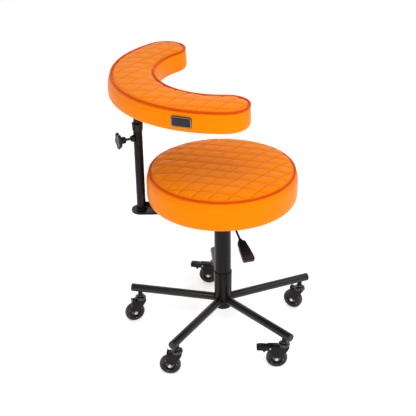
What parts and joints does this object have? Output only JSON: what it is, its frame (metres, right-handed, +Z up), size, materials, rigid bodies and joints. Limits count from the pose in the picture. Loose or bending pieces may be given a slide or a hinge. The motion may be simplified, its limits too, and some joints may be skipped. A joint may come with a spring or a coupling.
{
  "type": "rolling throne stool",
  "caption": "Height-adjustable rolling throne stool with a round quilted seat on a gas lift, a caster base and a crescent padded rest on a swinging arm.",
  "frame": {"origin": "on the floor, under the middle of the whole stool's bounding box at rest", "axes": "+Z up; the lift column is vertical; -X is the side of the post and the rest's arm"},
  "size_m": [0.5982, 0.616, 0.8303],
  "materials": {
    "black_coat": "satin",
    "bright_steel": "satin",
    "tyre_rubber": "gloss",
    "wheel_plastic": "gloss",
    "black_plastic": "satin",
    "orange_leatherette": "satin",
    "red_piping": "satin",
    "plywood": "matte",
    "badge_metal": "satin"
  },
  "bodies": {
    "base": {"hub_tube": "black_coat", "column_tube": "black_coat", "guide_bush": "black_plastic", "thrust_bearing": "bright_steel", "piston_rod": "bright_steel", "retaining_clip": "bright_steel", "leg_tube_1": "black_coat", "caster_stem_1": "bright_steel", "leg_tube_2": "black_coat", "caster_stem_2": "bright_steel", "leg_tube_3": "black_coat", "caster_stem_3": "bright_steel", "leg_tube_4": "black_coat", "caster_stem_4": "bright_steel", "leg_tube_5": "black_coat", "caster_stem_5": "bright_steel"},
    "lift": {"gas_cylinder": "black_coat"},
    "valve": {"valve_button": "bright_steel"},
    "seat": {"seat_plate": "black_coat", "seat_board": "plywood", "seat_cushion": "orange_leatherette", "seat_piping": "red_piping", "arm_retainer": "black_coat"},
    "lever": {"lever_rod": "black_coat", "lever_paddle": "black_plastic"},
    "rest_arm": {"bracket_arm": "black_coat", "post_tube": "black_coat", "post_collar": "black_plastic", "knob_boss": "black_coat"},
    "clamp": {"clamp_screw": "bright_steel"},
    "knob": {"clamp_knob": "black_plastic"},
    "rest_post": {"inner_post": "black_coat"},
    "rest": {"rest_plate": "black_coat", "rest_board": "plywood", "rest_cushion": "orange_leatherette", "rest_piping": "red_piping", "name_badge": "badge_metal"},
    "caster_1": {"fork_1": "black_coat", "axle_1": "bright_steel"},
    "wheel_1": {"tyre_1": "tyre_rubber", "wheel_hub_1": "wheel_plastic"},
    "caster_2": {"fork_2": "black_coat", "axle_2": "bright_steel"},
    "wheel_2": {"tyre_2": "tyre_rubber", "wheel_hub_2": "wheel_plastic"},
    "caster_3": {"fork_3": "black_coat", "axle_3": "bright_steel"},
    "wheel_3": {"tyre_3": "tyre_rubber", "wheel_hub_3": "wheel_plastic"},
    "brake_3": {"brake_pedal_3": "black_coat"},
    "caster_4": {"fork_4": "black_coat", "axle_4": "bright_steel"},
    "wheel_4": {"tyre_4": "tyre_rubber", "wheel_hub_4": "wheel_plastic"},
    "caster_5": {"fork_5": "black_coat", "axle_5": "bright_steel"},
    "wheel_5": {"tyre_5": "tyre_rubber", "wheel_hub_5": "wheel_plastic"},
    "brake_5": {"brake_pedal_5": "black_coat"}
  },
  "joints": [
    {"name": "seat_lift", "type": "slide", "parent": "base", "child": "lift", "axis": [0, 0, 1], "range_m": [0, 0.12]},
    {"name": "valve_press", "type": "slide", "parent": "lift", "child": "valve", "axis": [0, 0, -1], "range_m": [0, 0.0021]},
    {"name": "seat_swivel", "type": "hinge", "parent": "lift", "child": "seat", "pos_m": [0.02312, -0.04621, 0.446], "axis": [0, 0, 1], "continuous": true},
    {"name": "lever_tilt", "type": "hinge", "parent": "seat", "child": "lever", "pos_m": [0.03028, -0.06701, 0.449], "axis": [-0.9455, -0.3256, 0], "range_deg": [0, 6], "stiffness_Nm_per_rad": 2, "springref_deg": -2.86},
    {"name": "arm_swing", "type": "hinge", "parent": "seat", "child": "rest_arm", "pos_m": [0.02312, -0.04621, 0.428], "axis": [0, 0, 1], "range_deg": [-180, 60]},
    {"name": "clamp_slide", "type": "slide", "parent": "rest_arm", "child": "clamp", "axis": [-0.9135, -0.4067, 0], "range_m": [0, 0.0038]},
    {"name": "knob_turn", "type": "hinge", "parent": "clamp", "child": "knob", "pos_m": [-0.21635, -0.05039, 0.6598], "axis": [-0.9135, -0.4067, 0], "range_deg": [0, 1080]},
    {"name": "rest_height", "type": "slide", "parent": "rest_arm", "child": "rest_post", "axis": [0, 0, 1], "range_m": [-0.05, 0.12]},
    {"name": "rest_turn", "type": "hinge", "parent": "rest_post", "child": "rest", "pos_m": [-0.21635, -0.05039, 0.76], "axis": [0, 0, 1], "continuous": true},
    {"name": "caster_swivel_1", "type": "hinge", "parent": "base", "child": "caster_1", "pos_m": [-0.24, 0.01116, 0.08], "axis": [0, 0, 1], "continuous": true},
    {"name": "wheel_spin_1", "type": "hinge", "parent": "caster_1", "child": "wheel_1", "pos_m": [-0.25979, 0.00276, 0.032], "axis": [0.3907, -0.9205, 0], "continuous": true},
    {"name": "caster_swivel_2", "type": "hinge", "parent": "base", "child": "caster_2", "pos_m": [-0.11275, -0.27872, 0.08], "axis": [0, 0, 1], "continuous": true},
    {"name": "wheel_spin_2", "type": "hinge", "parent": "caster_2", "child": "wheel_2", "pos_m": [-0.13417, -0.27684, 0.032], "axis": [-0.0872, -0.9962, 0], "continuous": true},
    {"name": "caster_swivel_3", "type": "hinge", "parent": "base", "child": "caster_3", "pos_m": [0.20226, -0.24728, 0.08], "axis": [0, 0, 1], "continuous": true},
    {"name": "wheel_spin_3", "type": "hinge", "parent": "caster_3", "child": "wheel_3", "pos_m": [0.18078, -0.24652, 0.032], "axis": [-0.0349, -0.9994, 0], "continuous": true},
    {"name": "brake_press_3", "type": "hinge", "parent": "caster_3", "child": "brake_3", "pos_m": [0.16129, -0.24584, 0.069], "axis": [-0.0349, -0.9994, 0], "range_deg": [0, 20]},
    {"name": "caster_swivel_4", "type": "hinge", "parent": "base", "child": "caster_4", "pos_m": [0.2697, 0.06204, 0.08], "axis": [0, 0, 1], "continuous": true},
    {"name": "wheel_spin_4", "type": "hinge", "parent": "caster_4", "child": "wheel_4", "pos_m": [0.25108, 0.07279, 0.032], "axis": [-0.5, -0.866, 0], "continuous": true},
    {"name": "caster_swivel_5", "type": "hinge", "parent": "base", "child": "caster_5", "pos_m": [-0.00363, 0.22176, 0.08], "axis": [0, 0, 1], "continuous": true},
    {"name": "wheel_spin_5", "type": "hinge", "parent": "caster_5", "child": "wheel_5", "pos_m": [-0.02487, 0.22513, 0.032], "axis": [-0.1564, -0.9877, 0], "continuous": true},
    {"name": "brake_press_5", "type": "hinge", "parent": "caster_5", "child": "brake_5", "pos_m": [-0.04413, 0.22818, 0.069], "axis": [-0.1564, -0.9877, 0], "range_deg": [0, 20]}
  ],
  "couplings": [
    {"joint": "valve_press", "follows": "lever_tilt", "m_per_rad": 0.0188},
    {"joint": "clamp_slide", "follows": "knob_turn", "m_per_rad": 0.00019894}
  ]
}
